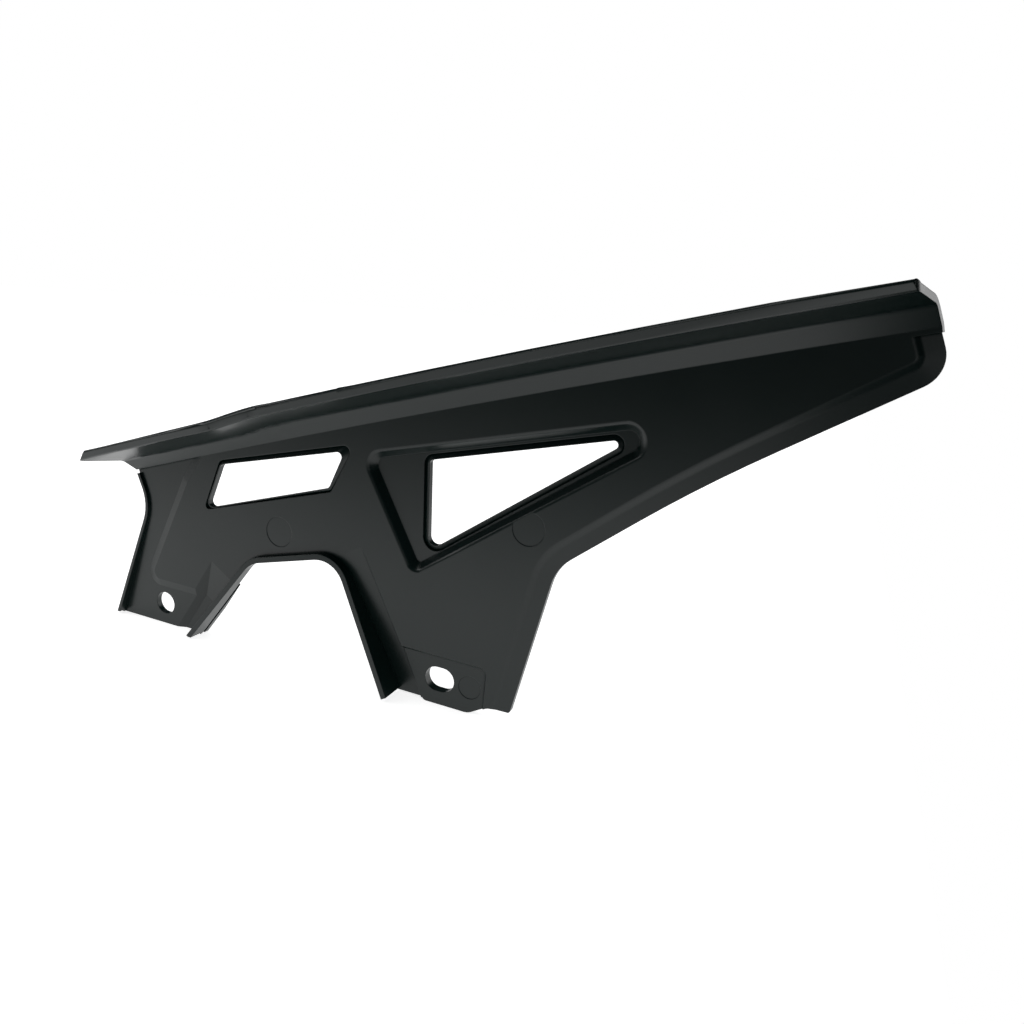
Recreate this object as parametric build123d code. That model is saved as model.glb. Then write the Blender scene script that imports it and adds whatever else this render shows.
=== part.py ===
"""Motorcycle chain guard: one injection-moulded shell with a top flange, two bolt legs and two windows.

X runs along the chain, Y from the chain side (minus) to the outer side (plus), Z up, in millimetres.
The origin is on the axis of the round bolt hole, half way through its pad.
Corner points below are (x, z) from a drawing datum in the wall's chain-side face.
The last step shifts the part from that datum to its origin.
"""
import os
from math import degrees, radians, tan

from build123d import *

# Moulded wall
wall = 2.5
outer_edge_round = 1.8

# Top rail: a shallow arc where the wall turns into the flange over the chain
rail_start = (-15.0, 54.4)
rail_end = (270.9, 142.2)
rail_sag = 1.9
rail_foot = 1.5
band_depth = 4.0
band_height = 6.2
flange_depth = 22.0
flange_rise = 3.6
flange_fold_round = 3.0
free_edge_lean = 1.4
free_edge_round = 0.8
lip_height = 3.8
lip_width = 3.5
flange_left_skew = 10.0
flange_left_round = 5.0
flange_right_skew = -6.5
flange_right_round = 4.5
flange_left_lean = 1.2
flange_right_lean = 0.0
flange_slack = 0.6
joggle_drop = 1.5
joggle_start = 58.0
joggle_length = 28.0
joggle_steps = 6

# Feet: both legs end on one floor line below the bolt axes
foot_drop = 10.0
pad_top = 10.0
pad_sink = 1.2
bolt_hole = (-1.5, -0.7)
bolt_spacing = 132.5
slot_rise = 0.9
bolt_hole_diameter = 9.6
slot_length = 12.0

# Left leg
left_waist = (-9.5, 42.0)
left_waist_round = 18.0
left_foot_left = -26.1
left_foot_right = 18.2

# Arch between the legs
arch_left = (46.0, 28.5)
arch_right = (85.1, 39.0)
arch_round = 12.0

# Right leg and blade
right_foot_left = 112.2
right_foot_lift = 0.8
right_pad_left = 125.2
right_pad_right = 143.5
right_pad_left_round = 2.0
right_pad_right_round = 6.0
right_toe = (151.8, -5.0)
right_toe_round = 4.0
right_heel = (159.9, -5.3)
right_heel_round = 1.0
blade_root = (171.1, 53.0)
blade_root_round = 18.0
blade_bend = (215.3, 90.1)
blade_bend_round = 500.0
blade_tip = (275.6, 131.6)
blade_tip_round = 9.0

# Rims along the arch and the left leg: the free edge of each lies in a tilted plane
arch_rim_thickness = 2.2
arch_rim_left_foot = 6.3
arch_rim_right_foot = 8.7
arch_rim_top = 2.8
left_rim_thickness = 1.3
left_rim_foot = 2.6
left_rim_waist = 0.8
rim_foot_gap = 0.8

# Edge strip of the blade and the right leg: a soft step down from the flat wall, then a slight fall
strip_width = 8.0
strip_ease = 1.0
strip_step_width = 1.8
strip_step_drop = 0.8
strip_edge_drop = 1.4
strip_round = 2.5

# Sunk border and bolt pad of the left leg
border_sink = 0.8
border_slope = 76.0
border_top = (19.0, 67.0)
border_bend = (11.5, 55.0)
border_foot = -8.3
border_bend_round = 8.0
border_foot_round = 3.0

# Channels beside the rims of both legs
channel_depth = 2.2
left_channel_top = (24.2, 24.0)
left_channel_elbow = 15.6
left_channel_foot = 3.2
left_channel_slope = 65.0
channel_top = (95.0, 45.0)
channel_elbow = 114.5
channel_foot = 124.3
channel_round = 6.0

# Sunk bolt pad of the right leg
pad_right = 150.0
pad_round = 3.0
pad_thickness = 3.6
pad_slope = 35.0

# Triangle window in its pocket
pocket_depth = 3.2
pocket_slope = 38.0
pocket_corners = [(92.8, 80.5), (117.0, 39.1), (219.3, 113.7)]
pocket_rounds = [6.0, 4.0, 6.1]
pocket_rim_round = 1.6
triangle_corners = [(119.3, 81.8), (121.2, 48.1), (191.6, 100.8)]
triangle_rounds = [1.5, 3.0, 1.4]
triangle_groove = 2.1

# Slanted window
slant_corners = [(21.4, 46.1), (79.6, 64.9), (85.8, 80.0), (28.6, 65.4)]
slant_rounds = [2.0, 3.0, 1.8, 2.5]
slant_groove_corners = [(20.1, 45.2), (80.6, 63.6), (90.2, 83.4), (28.1, 67.1)]
slant_groove_rounds = [1.6, 2.5, 2.5, 3.0]

# Groove round both windows, rising to a flat crest beside the opening
groove_depth = 1.0
crest_width = 0.3

# Witness marks of the ejector pins
pin_diameter = 12.0
pin_mark_depth = 0.15
pin_marks = [(57.5, 43.3), (160.2, 65.0)]
pad_mark_diameter = 9.0
pad_mark = (143.4, 0.3)

# Length that a cutting shape runs past the guard
reach = 60.0

# Nearness at which an edge counts as lying on a line
tolerance = 0.01


def rounded(corners, rounds):
    """A closed outline through corner points, each rounded by its own radius."""
    return make_face(FilletPolyline(*corners, radius=rounds, close=True))


def slab(outline, near, far):
    """An outline seen along +Y, as a slab from y = near to y = far."""
    return extrude(Plane.XZ.offset(-far) * outline, amount=far - near)


def tapered(outline, start, height, slope, towards):
    """An outline raised from y = start by height, towards -1 (chain side) or 1, its sides leaning in."""
    return extrude(Plane.XZ.offset(-start) * outline, amount=height, dir=(0, towards, 0), taper=slope)


def edges_on(shape, line):
    """The edges of a shape that lie on a line."""
    return [
        edge
        for edge in shape.edges()
        if all(line.distance_to(edge @ share) < tolerance for share in (0.1, 0.5, 0.9))
    ]


# Rail: the arc through rail_start and rail_end, its axis and the planes across it
chord = Vector(*rail_end) - Vector(*rail_start)
rail_radius = chord.length**2 / (8 * rail_sag) + rail_sag / 2
rail_up = Vector(-chord.Y, chord.X).normalized()
rail_middle = (Vector(*rail_start) + Vector(*rail_end)) * 0.5
rail_centre = rail_middle - rail_up * (rail_radius - rail_sag)
rail_arc = ThreePointArc(rail_start, rail_middle + rail_up * rail_sag, rail_end)
rail_axis = Axis((rail_centre.X, 0, rail_centre.Y), (0, 1, 0))


def across_rail(run):
    """The plane across the rail, run millimetres from its left end: x towards the chain, y up."""
    share = run / rail_arc.length
    point = rail_arc @ share
    tangent = rail_arc % share
    return Plane((point.X, 0, point.Y), x_dir=(0, -1, 0), z_dir=(-tangent.X, 0, -tangent.Y))


def outer_corner(corner, before, after):
    """A corner of the rail's underside, set out by the wall's thickness between the runs beside it."""
    sides = Vector(-before.Y, before.X) + Vector(-after.Y, after.X)
    return corner + sides * (2 * wall / sides.length**2)


def rail_section(drop):
    """The rail across its run: wall foot, slanted band, and the flange with a lip on its free edge."""
    foot = Vector(0, rail_foot)
    fold = Vector(band_depth, rail_foot + band_height - drop)
    free_edge = fold + Vector(flange_depth - band_depth, flange_rise)
    band_run = (fold - foot).normalized()
    flange_run = (free_edge - fold).normalized()
    flange_up = Vector(-flange_run.Y, flange_run.X)
    return rounded(
        [
            (0, 0),
            foot,
            fold,
            free_edge - flange_run * free_edge_lean,
            free_edge + flange_up * lip_height,
            free_edge - flange_run * lip_width + flange_up * wall,
            outer_corner(fold, band_run, flange_run),
            outer_corner(foot, Vector(0, 1), band_run),
            (-wall, 0),
        ],
        [0, 0, flange_fold_round, free_edge_round, free_edge_round, 0, flange_fold_round + wall, wall, 0],
    )


def rail_run(run_from, run_to, drop):
    """A length of the rail with one section."""
    turn = degrees((run_to - run_from) / rail_radius)
    return revolve(across_rail(run_from) * rail_section(drop), axis=rail_axis, revolution_arc=turn)


def joggle():
    """The stretch where the flange steps up, eased in and out."""
    sections = []
    for step in range(joggle_steps + 1):
        share = step / joggle_steps
        eased = share * share * (3 - 2 * share)
        plane = across_rail(joggle_start + share * joggle_length)
        sections.append(plane * rail_section(joggle_drop * (1 - eased)))
    return loft(sections)


def flange_end(run, skew, radius, side, drop, lean):
    """What one end keeps of the rail: its free edge runs skew millimetres past the wall and leans back."""
    plane = across_rail(run)
    outward = plane.z_dir * side
    free_edge = flange_depth + flange_slack
    slant = skew / flange_depth
    kept = rounded(
        [
            (-2 * rail_arc.length, -2 * wall),
            (-2 * wall * slant, -2 * wall),
            (free_edge * slant, free_edge),
            (-2 * rail_arc.length, free_edge),
        ],
        [0, 0, radius, 0],
    )
    level = Plane(plane.origin, x_dir=outward, z_dir=plane.y_dir * side)
    upright = extrude(level * kept, amount=reach, both=True)
    slope = flange_rise / (flange_depth - band_depth)
    flange_up = plane.y_dir - plane.x_dir * slope
    underside = plane.origin + plane.y_dir * (rail_foot + band_height - drop - band_depth * slope)
    flange = Plane(underside, x_dir=outward, z_dir=flange_up * side)
    leaning = extrude(flange * kept, amount=reach, dir=flange_up - outward * lean, both=True)
    return upright & leaning


def strip_along(edge):
    """The edge strip along one line or arc of the outline, whose inside lies to the right of its run."""
    ahead = edge % 0
    start = Plane(
        (edge.position_at(0).X, 0, edge.position_at(0).Y),
        x_dir=(ahead.Y, 0, -ahead.X),
        z_dir=(-ahead.X, 0, -ahead.Y),
    )
    section = start * strip_section
    if edge.geom_type == GeomType.LINE:
        return extrude(section, amount=edge.length, dir=(ahead.X, 0, ahead.Y))
    centre = edge.arc_center
    turn = degrees(edge.length / edge.radius)
    left_turn = (edge % 1).cross(ahead).Z < 0
    spin = Axis((centre.X, 0, centre.Y), (0, -1 if left_turn else 1, 0))
    return revolve(section, axis=spin, revolution_arc=turn)


# Outline of the wall, from the blade's tip round the legs to the rail's left end
feet = -foot_drop
channel_floor = right_foot_lift - foot_drop
blade_corners = [rail_end, blade_tip, blade_bend, blade_root, right_heel]
blade_rounds = [blade_tip_round, blade_bend_round, blade_root_round]
right_foot_corners = [
    right_toe,
    (right_pad_right, feet),
    (right_pad_left, feet),
    (right_pad_left - right_foot_lift, channel_floor),
]
right_foot_rounds = [right_heel_round, right_toe_round, right_pad_right_round, right_pad_left_round, 0]
arch_corners = [(right_foot_left, channel_floor), arch_right, arch_left, (left_foot_right, feet)]
arch_rounds = [arch_round, arch_round]
left_corners = [(left_foot_left, feet), left_waist, rail_start]
edge_line = FilletPolyline(
    *blade_corners,
    *right_foot_corners,
    *arch_corners,
    *left_corners,
    radius=blade_rounds + right_foot_rounds + [0] + arch_rounds + [0, 0, left_waist_round],
)
outline = make_face(edge_line.edges() + rail_arc.edges())

# Flat wall, and the edge strip of the blade and the right leg
strip_front = FilletPolyline(
    (0, -strip_edge_drop),
    (strip_width - strip_ease - strip_step_width, -strip_step_drop),
    (strip_width - strip_ease, 0),
    (strip_width, 0),
    radius=[strip_round, strip_round],
)
strip_back = Pos(0, -wall) * strip_front
strip_ends = [Line(strip_front @ share, strip_back @ share) for share in (0, 1)]
strip_section = make_face(strip_front.edges() + strip_back.edges() + strip_ends)
tip_run = (Vector(*rail_end) - Vector(*blade_tip)).normalized()
heel_run = (Vector(*right_heel) - Vector(*blade_root)).normalized()
strip_line = FilletPolyline(
    Vector(*rail_end) + tip_run * foot_drop,
    *blade_corners[1:-1],
    Vector(*right_heel) + heel_run * foot_drop,
    radius=blade_rounds,
)
strip = Part() + [strip_along(edge) for edge in strip_line.edges()]
strip = strip & slab(outline, -reach, reach)
flat = outline - trace(strip_line, 2 * strip_width)
shell = slab(flat, 0, wall) + strip

# Rail with its flange, stepped up past the left leg
rail = rail_run(-flange_left_skew - wall, joggle_start, joggle_drop) + joggle()
rail += rail_run(joggle_start + joggle_length, rail_arc.length + wall, 0)
rail &= flange_end(0, flange_left_skew, flange_left_round, 1, joggle_drop, flange_left_lean)
rail &= flange_end(rail_arc.length, flange_right_skew, flange_right_round, -1, 0, flange_right_lean)
shell += rail


def rim(band, points):
    """A rim on a band along the wall's edge, as deep as the plane through three points."""
    normal = (points[1] - points[0]).cross(points[2] - points[0])
    free_edge = Plane(points[0], z_dir=normal if normal.Y > 0 else -normal)
    deep = slab(band, -reach, 0) & slab(outline, -reach, 0)
    return split(deep, bisect_by=free_edge, keep=Keep.TOP)


# Rims of the arch and the left leg, each cut off by the tilted plane of its free edge
arch_line = FilletPolyline(*arch_corners, radius=arch_rounds)
left_line = FilletPolyline(*left_corners, radius=[left_waist_round])
arch_band = trace(arch_line, 2 * arch_rim_thickness)
left_band = trace(left_line, 2 * left_rim_thickness)
rim_face = (arch_band + left_band) & outline
arch_rim = rim(
    arch_band,
    [
        Vector(left_foot_right, -arch_rim_left_foot, feet),
        Vector(right_foot_left, -arch_rim_right_foot, feet),
        Vector(arch_right[0], -arch_rim_top, arch_right[1]),
    ],
)
left_rim = rim(
    left_band,
    [
        Vector(left_foot_left, -left_rim_foot, feet),
        Vector(left_foot_left + reach, -left_rim_foot, feet),
        Vector(left_waist[0], -left_rim_waist, left_waist[1]),
    ],
)
shell += split(arch_rim + left_rim, bisect_by=Plane.XY.offset(feet + rim_foot_gap), keep=Keep.TOP)

# Outer edge of the arch, rounded off
arch_edge = edges_on(shell, Plane.XZ.offset(-wall) * arch_line)
shell = fillet(arch_edge, outer_edge_round)

# Left leg: the border down its left edge and its bolt pad are sunk, as far up as the rail's band
border = rounded(
    [
        (left_foot_left - reach, border_top[1] + reach),
        (border_top[0], border_top[1] + reach),
        border_top,
        border_bend,
        (border_foot, pad_top),
        (left_foot_right + reach, pad_top),
        (left_foot_right + reach, feet - reach),
        (left_foot_left - reach, feet - reach),
    ],
    [0, 0, 0, border_bend_round, border_foot_round, 0, 0, 0],
)
left_leg = Rectangle(arch_left[0] + reach, 4 * reach, align=(Align.MIN, Align.CENTER))
left_field = (outline + trace(rail_arc, 2 * rail_foot)) & (Pos(-reach, 0) * left_leg)
border_skin = wall * tan(radians(45 - border_slope / 2))
border_back = tapered(offset(border, amount=border_skin), wall, border_sink, border_slope, 1)
border_front = tapered(border, 0, border_sink, border_slope, 1)
shell += border_back & slab(left_field, 0, reach)
shell -= border_front & slab(left_field - rim_face, 0, reach)


def channel_fall(zone, near, top, elbow):
    """The space that a channel takes from y = near outwards in a zone: it falls from its top to its elbow."""
    run = Vector(*top) - Vector(*elbow)
    along = Plane((top[0], 0, top[1]), x_dir=(0, 1, 0), z_dir=(run.Y, 0, -run.X))
    profile = Polyline(
        (near, 0),
        (near + channel_depth, -run.length),
        (near + channel_depth, -run.length - 2 * reach),
        (near, -run.length - 2 * reach),
        close=True,
    )
    return extrude(along * make_face(profile), amount=2 * reach, both=True) & slab(zone, -reach, reach)


# Left leg's channel beside the rim, falling away from its top
left_channel_zone = make_face(
    Polyline(
        left_channel_top,
        (left_channel_elbow, pad_top),
        (left_channel_foot, feet),
        (left_channel_foot, feet - reach),
        (left_foot_right + reach, feet - reach),
        (left_foot_right + reach, left_channel_top[1]),
        close=True,
    )
)
left_channel_skin = wall * tan(radians(45 - left_channel_slope / 2))
left_channel_back = tapered(
    offset(left_channel_zone, amount=left_channel_skin), wall, channel_depth, left_channel_slope, 1
)
left_channel_front = tapered(left_channel_zone, 0, channel_depth, left_channel_slope, 1)
left_leg_field = outline & (Pos(-reach, 0) * left_leg)
left_run = (left_channel_top, (left_channel_elbow, pad_top))
shell += left_channel_back & channel_fall(left_leg_field, wall, *left_run)
shell -= left_channel_front & channel_fall(left_leg_field - rim_face, 0, *left_run)

# Right leg's channel beside the rim, and its sunk bolt pad
channel_zone = rounded(
    [
        channel_top,
        (channel_elbow, pad_top),
        (channel_foot, feet),
        (channel_foot, feet - reach),
        (arch_right[0] - arch_rim_thickness, feet - reach),
        (arch_right[0] - arch_rim_thickness, channel_top[1]),
    ],
    [0, channel_round, 0, 0, 0, 0],
)
pad_zone = rounded(
    [
        (right_foot_left, pad_top),
        (pad_right, pad_top),
        (pad_right, feet - reach),
        (right_foot_left, feet - reach),
    ],
    [0, pad_round, 0, 0],
)
right_run = (channel_top, (channel_elbow, pad_top))
shell += channel_fall(offset(channel_zone, amount=wall) & outline, wall, *right_run)
shell += slab(offset(pad_zone, amount=wall) & outline, wall, pad_sink + pad_thickness)
shell -= channel_fall(channel_zone - rim_face, 0, *right_run)
shell -= tapered(pad_zone, 0, pad_sink, pad_slope, 1) - slab(rim_face, 0, reach)

# Pocket of the triangle window, pressed outwards with the wall kept at one thickness
pocket = rounded(pocket_corners, pocket_rounds)
pocket_skin = wall * tan(radians(45 - pocket_slope / 2))
shell += tapered(offset(pocket, amount=pocket_skin), wall, pocket_depth, pocket_slope, 1)
shell -= tapered(pocket, 0, pocket_depth, pocket_slope, 1)
pocket_rim = edges_on(shell, (Plane.XZ * pocket).wire())
shell = fillet(pocket_rim, pocket_rim_round)


def grooved(body, window, groove, level):
    """A body with a window cut at a level of its wall, and round it a groove that rises to a crest."""
    crest = offset(window, amount=crest_width)
    bottom = Plane.XZ.offset(-level - groove_depth)
    top = Plane.XZ.offset(-level)
    rise = loft([bottom * groove, top * crest], ruled=True)
    body = body - slab(groove, level, level + groove_depth)
    body = body + rise
    return body - slab(window, level - groove_depth, reach)


# Windows
triangle = rounded(triangle_corners, triangle_rounds)
shell = grooved(shell, triangle, offset(triangle, amount=triangle_groove), pocket_depth)
slant_groove = rounded(slant_groove_corners, slant_groove_rounds)
shell = grooved(shell, rounded(slant_corners, slant_rounds), slant_groove, 0)

# Bolt hole, slot and ejector marks
slot_middle = (bolt_hole[0] + bolt_spacing, bolt_hole[1] + slot_rise)
slot = Pos(slot_middle) * SlotOverall(slot_length, bolt_hole_diameter)
shell -= slab(Pos(bolt_hole) * Circle(bolt_hole_diameter / 2), -reach, reach)
shell -= slab(slot, -reach, reach)
for mark in pin_marks:
    shell -= slab((Pos(mark) * Circle(pin_diameter / 2)) & outline, 0, pin_mark_depth)
shell -= slab(Pos(pad_mark) * Circle(pad_mark_diameter / 2), pad_sink, pad_sink + pin_mark_depth)

# The frame's origin is on the bolt hole's axis, half way through its pad
shell = Pos(-bolt_hole[0], -border_sink - wall / 2, -bolt_hole[1]) * shell

os.makedirs("parts", exist_ok=True)
export_step(shell, "parts/chain_guard.step")
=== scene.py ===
"""Looks of the motorcycle chain guard: one satin black moulding on a white studio floor."""

import math

import bpy
from mathutils import Matrix, Vector


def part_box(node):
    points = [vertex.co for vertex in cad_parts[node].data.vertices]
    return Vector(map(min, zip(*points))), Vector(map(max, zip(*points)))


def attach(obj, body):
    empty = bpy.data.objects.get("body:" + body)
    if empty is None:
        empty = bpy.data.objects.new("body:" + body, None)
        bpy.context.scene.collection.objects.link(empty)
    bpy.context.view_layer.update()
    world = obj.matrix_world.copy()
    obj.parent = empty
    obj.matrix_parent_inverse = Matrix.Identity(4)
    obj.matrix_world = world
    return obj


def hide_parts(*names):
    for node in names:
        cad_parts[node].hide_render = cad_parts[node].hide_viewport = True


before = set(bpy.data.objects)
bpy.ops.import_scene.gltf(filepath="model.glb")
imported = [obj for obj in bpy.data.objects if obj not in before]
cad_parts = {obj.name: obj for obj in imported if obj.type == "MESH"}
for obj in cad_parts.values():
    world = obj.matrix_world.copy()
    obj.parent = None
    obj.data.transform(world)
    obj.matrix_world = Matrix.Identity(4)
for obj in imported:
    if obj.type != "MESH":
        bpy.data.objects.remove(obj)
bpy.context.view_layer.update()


# Guard shell.
# One injection moulding in satin black plastic: wall, legs, flange and rims are a single piece, bolted to the
# swingarm through the hole and the slot in its feet. The mould leaves a fine grain. In creases the sheen is
# turned down by ambient occlusion, a painted shade that draws dark lines along steps and corners.
plastic_black = (0.0008, 0.0075, 0.0066, 1.0)
plastic_ior = 1.5
gloss_scale, gloss_low, gloss_high = 38.0, 0.27, 0.35
grain_scale, grain_strength, grain_height = 2600.0, 0.06, 0.0001
edge_radius = 0.0004
# Painted shade in creases: how far the occlusion looks, and the sheen it leaves in closed and open places.
crease_shade_reach, crease_closed, crease_open = 0.0009, 0.5, 0.95
crease_shade_sheen, open_sheen = 0.08, 0.5

plastic = bpy.data.materials.new("satin_black_plastic")
plastic.use_nodes = True
nodes = plastic.node_tree.nodes
links = plastic.node_tree.links
nodes.clear()
output = nodes.new("ShaderNodeOutputMaterial")
skin = nodes.new("ShaderNodeBsdfPrincipled")
skin.inputs["Base Color"].default_value = plastic_black
skin.inputs["IOR"].default_value = plastic_ior
on_guard = nodes.new("ShaderNodeTexCoord")
sheen = nodes.new("ShaderNodeTexNoise")
sheen.inputs["Scale"].default_value = gloss_scale
sheen.inputs["Detail"].default_value = 3.0
gloss = nodes.new("ShaderNodeMapRange")
gloss.inputs["To Min"].default_value = gloss_low
gloss.inputs["To Max"].default_value = gloss_high
grain = nodes.new("ShaderNodeTexNoise")
grain.inputs["Scale"].default_value = grain_scale
grain.inputs["Detail"].default_value = 2.0
relief = nodes.new("ShaderNodeBump")
relief.inputs["Strength"].default_value = grain_strength
relief.inputs["Distance"].default_value = grain_height
worn_edge = nodes.new("ShaderNodeBevel")
worn_edge.samples = 6
worn_edge.inputs["Radius"].default_value = edge_radius
# Painted shade: local ambient occlusion lowers the sheen in creases and corners.
crease_occlusion = nodes.new("ShaderNodeAmbientOcclusion")
crease_occlusion.samples = 8
crease_occlusion.only_local = True
crease_occlusion.inputs["Distance"].default_value = crease_shade_reach
crease_shade = nodes.new("ShaderNodeMapRange")
crease_shade.inputs["From Min"].default_value = crease_closed
crease_shade.inputs["From Max"].default_value = crease_open
crease_shade.inputs["To Min"].default_value = crease_shade_sheen
crease_shade.inputs["To Max"].default_value = open_sheen
links.new(crease_occlusion.outputs["AO"], crease_shade.inputs["Value"])
links.new(crease_shade.outputs["Result"], skin.inputs["Specular IOR Level"])
links.new(on_guard.outputs["Object"], sheen.inputs["Vector"])
links.new(on_guard.outputs["Object"], grain.inputs["Vector"])
links.new(sheen.outputs["Fac"], gloss.inputs["Value"])
links.new(gloss.outputs["Result"], skin.inputs["Roughness"])
links.new(grain.outputs["Fac"], relief.inputs["Height"])
links.new(worn_edge.outputs["Normal"], relief.inputs["Normal"])
links.new(relief.outputs["Normal"], skin.inputs["Normal"])
links.new(skin.outputs["BSDF"], output.inputs["Surface"])

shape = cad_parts["chain_guard"].data.copy()
shape.name = "guard_shell"

# The lip on the flange's free edge stands a little higher between its ends, and the face below it leans in.
free_edge_y, lip_y = -0.0212, -0.0205
edge_lean, lip_rise = 0.0005, 0.0007
rise_start, rise_run, fall_end, fall_run = 0.0, 0.05, 0.262, 0.03
lower_edge, lip_top = set(), set()
for face in shape.polygons:
    points = [shape.vertices[index].co.to_tuple(6) for index in face.vertices]
    if face.center.y < free_edge_y and -0.95 < face.normal.z < -0.25:
        lower_edge.update(points)
    if face.center.y < lip_y and face.normal.z > 0.2:
        lip_top.update(point for point in points if point[1] < free_edge_y)
for vertex in shape.vertices:
    point = vertex.co.to_tuple(6)
    if point in lower_edge:
        vertex.co.y += edge_lean
    if point in lip_top:
        risen = (vertex.co.x - rise_start) / rise_run
        to_fall = (fall_end - vertex.co.x) / fall_run
        vertex.co.z += lip_rise * max(0.0, min(1.0, risen, to_fall))

# The rim down the left leg sinks to half its height at the leg's waist.
wall_face_y, waist_rim_share = -0.00205, 0.5
rim_right, waist_low, waist_high, rim_least = -0.006, 0.03, 0.052, 0.00015
for vertex in shape.vertices:
    at_waist = vertex.co.x < rim_right and waist_low < vertex.co.z < waist_high
    if at_waist and vertex.co.y < wall_face_y - rim_least:
        vertex.co.y = wall_face_y + waist_rim_share * (vertex.co.y - wall_face_y)
shape.update()

# The rounds are coarse, so their normals are faired: beside a flat face they take that face's normal.
flat_limit, smooth_limit = math.radians(1.5), math.radians(28)
normals = [Vector() for vertex in shape.vertices]
for loop, corner in zip(shape.loops, shape.corner_normals):
    normals[loop.vertex_index] += corner.vector
normals = [normal.normalized() for normal in normals]
bend = [0.0] * len(normals)
for face in shape.polygons:
    for index in face.vertices:
        bend[index] = max(bend[index], normals[index].angle(face.normal, 0.0))
meeting = {}
for vertex in shape.vertices:
    meeting.setdefault(vertex.co.to_tuple(6), []).append(vertex.index)
faired = list(normals)
inner = {}
for group in meeting.values():
    curved = [index for index in group if bend[index] > flat_limit]
    flat = [index for index in group if bend[index] <= flat_limit]
    if curved and len(group) == 1:
        inner[group[0]] = []
    for index in curved:
        beside = [normals[other] for other in flat or curved]
        near = [normal for normal in beside if normal.angle(normals[index], math.pi) < smooth_limit]
        if near:
            faired[index] = sum(near, Vector()).normalized()

# Between such edges the normals turn evenly, and the rail's inner points lie flat between neighbours.
rail_left, rail_right, rail_y = 0.12, 0.25, -0.004
fairing_steps = 40
for edge in shape.edges:
    first, second = edge.vertices
    pull = 1.0 / (shape.vertices[first].co - shape.vertices[second].co).length_squared
    for index, other in ((first, second), (second, first)):
        if index in inner:
            inner[index].append((other, pull))
for step in range(fairing_steps):
    for index, beside in inner.items():
        faired[index] = sum((faired[other] * pull for other, pull in beside), Vector()).normalized()
        vertex = shape.vertices[index]
        if rail_left < vertex.co.x < rail_right and vertex.co.y < rail_y:
            whole = sum(pull for other, pull in beside)
            vertex.co = sum((shape.vertices[other].co * pull for other, pull in beside), Vector()) / whole
shape.normals_split_custom_set_from_vertices(faired)

shape.materials.clear()
shape.materials.append(plastic)
guard = bpy.data.objects.new("guard_shell", shape)
bpy.context.scene.collection.objects.link(guard)
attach(guard, "root")
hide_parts("chain_guard")


# Floor.
# A white paper sheet that reaches well behind the guard and ends at its right side, as a studio table does.
# It glows a little, so that it keeps only a faint shadow. In the plastic's sheen it grows dim to the front:
# off the camera's rays its colour is painted darker toward the front, a painted reflection of a dim room.
floor_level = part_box("chain_guard")[0].z
floor_front, floor_back, floor_left, floor_right = -3.0, 6.0, -3.0, 0.30
paper_white, paper_glow = 0.95, 0.82
fade_front, fade_back = -1.0, -0.1
front_grey, back_grey = 0.03, 0.8
fade_steps = ((0.45, 0.14), (0.78, 0.42), (0.92, 0.72))

floor_mesh = bpy.data.meshes.new("floor")
outline = (
    (floor_left, floor_front), (floor_right, floor_front), (floor_right, floor_back), (floor_left, floor_back)
)
floor_mesh.from_pydata([(x, y, floor_level) for x, y in outline], [], [(0, 1, 2, 3)])
floor = bpy.data.objects.new("floor", floor_mesh)
bpy.context.scene.collection.objects.link(floor)
paper = bpy.data.materials.new("white_floor")
paper.use_nodes = True
nodes = paper.node_tree.nodes
links = paper.node_tree.links
nodes.clear()
output = nodes.new("ShaderNodeOutputMaterial")
both = nodes.new("ShaderNodeAddShader")
matte = nodes.new("ShaderNodeBsdfDiffuse")
glow = nodes.new("ShaderNodeEmission")
glow.inputs["Strength"].default_value = paper_glow
on_floor = nodes.new("ShaderNodeTexCoord")
depth = nodes.new("ShaderNodeSeparateXYZ")
front_to_back = nodes.new("ShaderNodeMapRange")
front_to_back.inputs["From Min"].default_value = fade_front
front_to_back.inputs["From Max"].default_value = fade_back
# Painted reflection: seen by any ray but the camera's, the floor fades to dark grey toward the front.
painted_reflection_fade = nodes.new("ShaderNodeValToRGB")
painted_reflection_fade.color_ramp.elements[0].position = 0.0
painted_reflection_fade.color_ramp.elements[0].color = (front_grey, front_grey, front_grey, 1.0)
painted_reflection_fade.color_ramp.elements[1].position = 1.0
painted_reflection_fade.color_ramp.elements[1].color = (back_grey, back_grey, back_grey, 1.0)
for share, grey in fade_steps:
    painted_reflection_fade.color_ramp.elements.new(share).color = (grey, grey, grey, 1.0)
sight = nodes.new("ShaderNodeLightPath")
direct = nodes.new("ShaderNodeMath")
direct.operation = "MULTIPLY"
direct.inputs[1].default_value = paper_white
paler = nodes.new("ShaderNodeMath")
paler.operation = "MAXIMUM"
links.new(sight.outputs["Is Camera Ray"], direct.inputs[0])
links.new(direct.outputs["Value"], paler.inputs[0])
links.new(painted_reflection_fade.outputs["Color"], paler.inputs[1])
links.new(on_floor.outputs["Object"], depth.inputs["Vector"])
links.new(depth.outputs["Y"], front_to_back.inputs["Value"])
links.new(front_to_back.outputs["Result"], painted_reflection_fade.inputs["Fac"])
links.new(paler.outputs["Value"], matte.inputs["Color"])
links.new(paler.outputs["Value"], glow.inputs["Color"])
links.new(matte.outputs["BSDF"], both.inputs[0])
links.new(glow.outputs["Emission"], both.inputs[1])
links.new(both.outputs["Shader"], output.inputs["Surface"])
floor_mesh.materials.append(paper)


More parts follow.
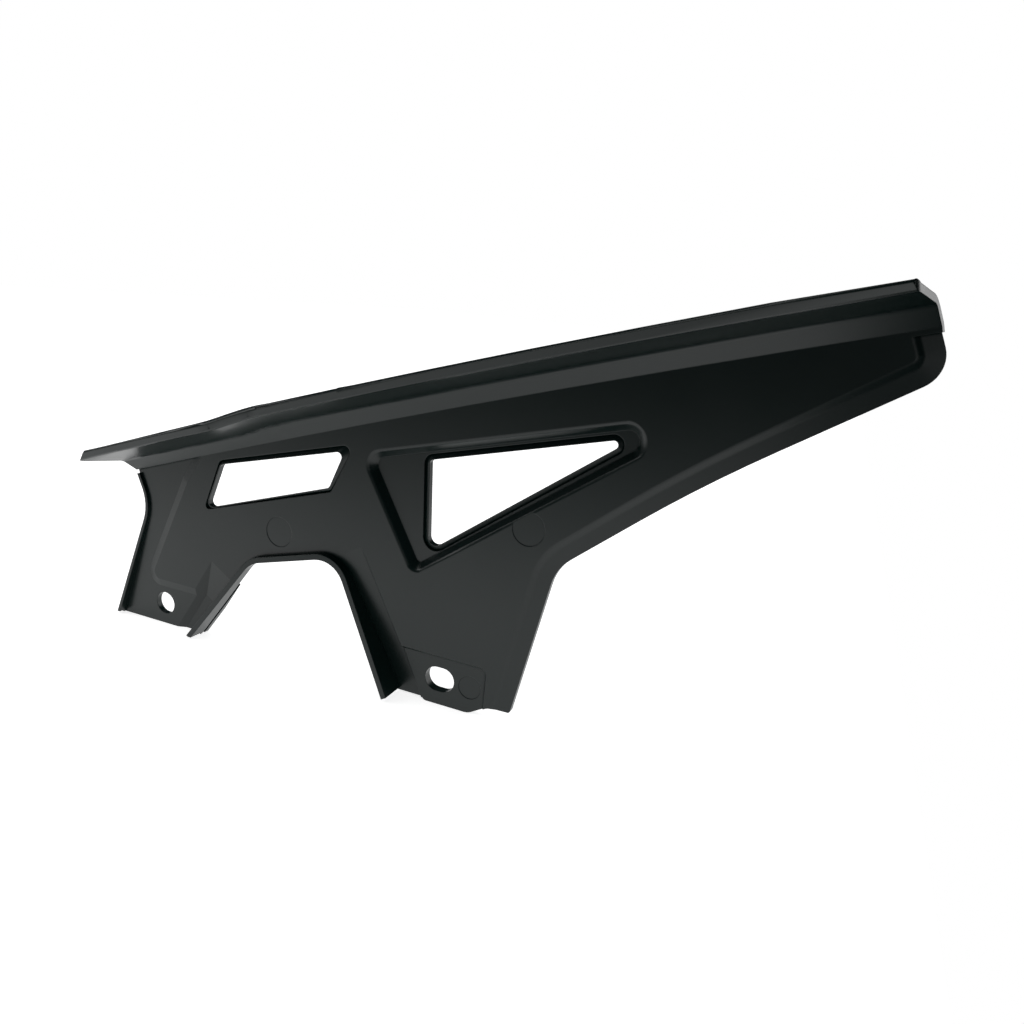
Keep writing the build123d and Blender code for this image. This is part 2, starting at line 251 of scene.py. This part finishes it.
# Studio.
# White to the eye and dark to the plastic, so that only the floor and the softboxes show in its sheen.
# The cards pick out the flange's right end, the blade's tip and the lip, and the ceiling only fills.
room_dark = (0.02, 0.02, 0.022, 1.0)
room_white = (1.0, 1.0, 1.0, 1.0)
world = bpy.data.worlds.new("studio")
bpy.context.scene.world = world
world.use_nodes = True
nodes = world.node_tree.nodes
links = world.node_tree.links
nodes.clear()
output = nodes.new("ShaderNodeOutputWorld")
choice = nodes.new("ShaderNodeMixShader")
ray = nodes.new("ShaderNodeLightPath")
dark = nodes.new("ShaderNodeBackground")
dark.inputs["Color"].default_value = room_dark
white = nodes.new("ShaderNodeBackground")
white.inputs["Color"].default_value = room_white
links.new(ray.outputs["Is Camera Ray"], choice.inputs["Fac"])
links.new(dark.outputs["Background"], choice.inputs[1])
links.new(white.outputs["Background"], choice.inputs[2])
links.new(choice.outputs["Shader"], output.inputs["Surface"])


def softbox(name, place, aim, size, power):
    """A square area light at a place, facing a point."""
    lamp = bpy.data.lights.new(name, "AREA")
    lamp.shape = "SQUARE"
    lamp.size = size
    lamp.energy = power
    box = bpy.data.objects.new(name, lamp)
    box.location = place
    box.rotation_euler = (Vector(aim) - Vector(place)).to_track_quat("-Z", "Y").to_euler()
    bpy.context.scene.collection.objects.link(box)


guard_middle = (0.12, 0.0, 0.06)
blade_tip = (0.26, 0.0, 0.13)
flange_end = (0.27, 0.0, 0.13)
softbox("left_softbox", (-1.1, -0.5, 0.9), guard_middle, 0.8, 5.0)
softbox("right_card", (0.70, -1.0, 0.11), blade_tip, 0.4, 0.3)
softbox("back_card", (1.1, 0.95, 0.3), flange_end, 0.8, 3.3)
softbox("top_card", (-0.35, 0.45, 1.3), guard_middle, 0.9, 1.5)
ceiling_spread, ceiling_tilt = math.radians(120), (math.radians(-20), math.radians(10), 0.0)
ceiling = bpy.data.lights.new("ceiling", "SUN")
ceiling.energy = 1.3
ceiling.angle = ceiling_spread
above = bpy.data.objects.new("ceiling", ceiling)
above.rotation_euler = ceiling_tilt
above.visible_glossy = False
bpy.context.scene.collection.objects.link(above)


# Camera.
# It stands to the right of the guard and a little above it, looks left and down, and is rolled a little.
# The lens is a moderate wide angle.
position = Vector((0.2492, -0.24795, 0.13995))
yaw, pitch, roll = math.radians(20.94), math.radians(14.76), math.radians(5.78)
sensor_width, focal_length, nearest = 36.0, 28.1, 0.01
ahead = Vector((-math.sin(yaw) * math.cos(pitch), math.cos(yaw) * math.cos(pitch), -math.sin(pitch)))
level = Vector((math.cos(yaw), math.sin(yaw), 0.0))
down = ahead.cross(level)
across = math.cos(roll) * level - math.sin(roll) * down
under = math.sin(roll) * level + math.cos(roll) * down
turn = Matrix((across, -under, -ahead)).transposed()
lens = bpy.data.cameras.new("camera")
lens.sensor_width = sensor_width
lens.lens = focal_length
lens.clip_start = nearest
camera = bpy.data.objects.new("camera", lens)
camera.matrix_world = Matrix.Translation(position) @ turn.to_4x4()
bpy.context.scene.collection.objects.link(camera)
bpy.context.scene.camera = camera
bpy.context.scene.view_settings.view_transform = "Standard"
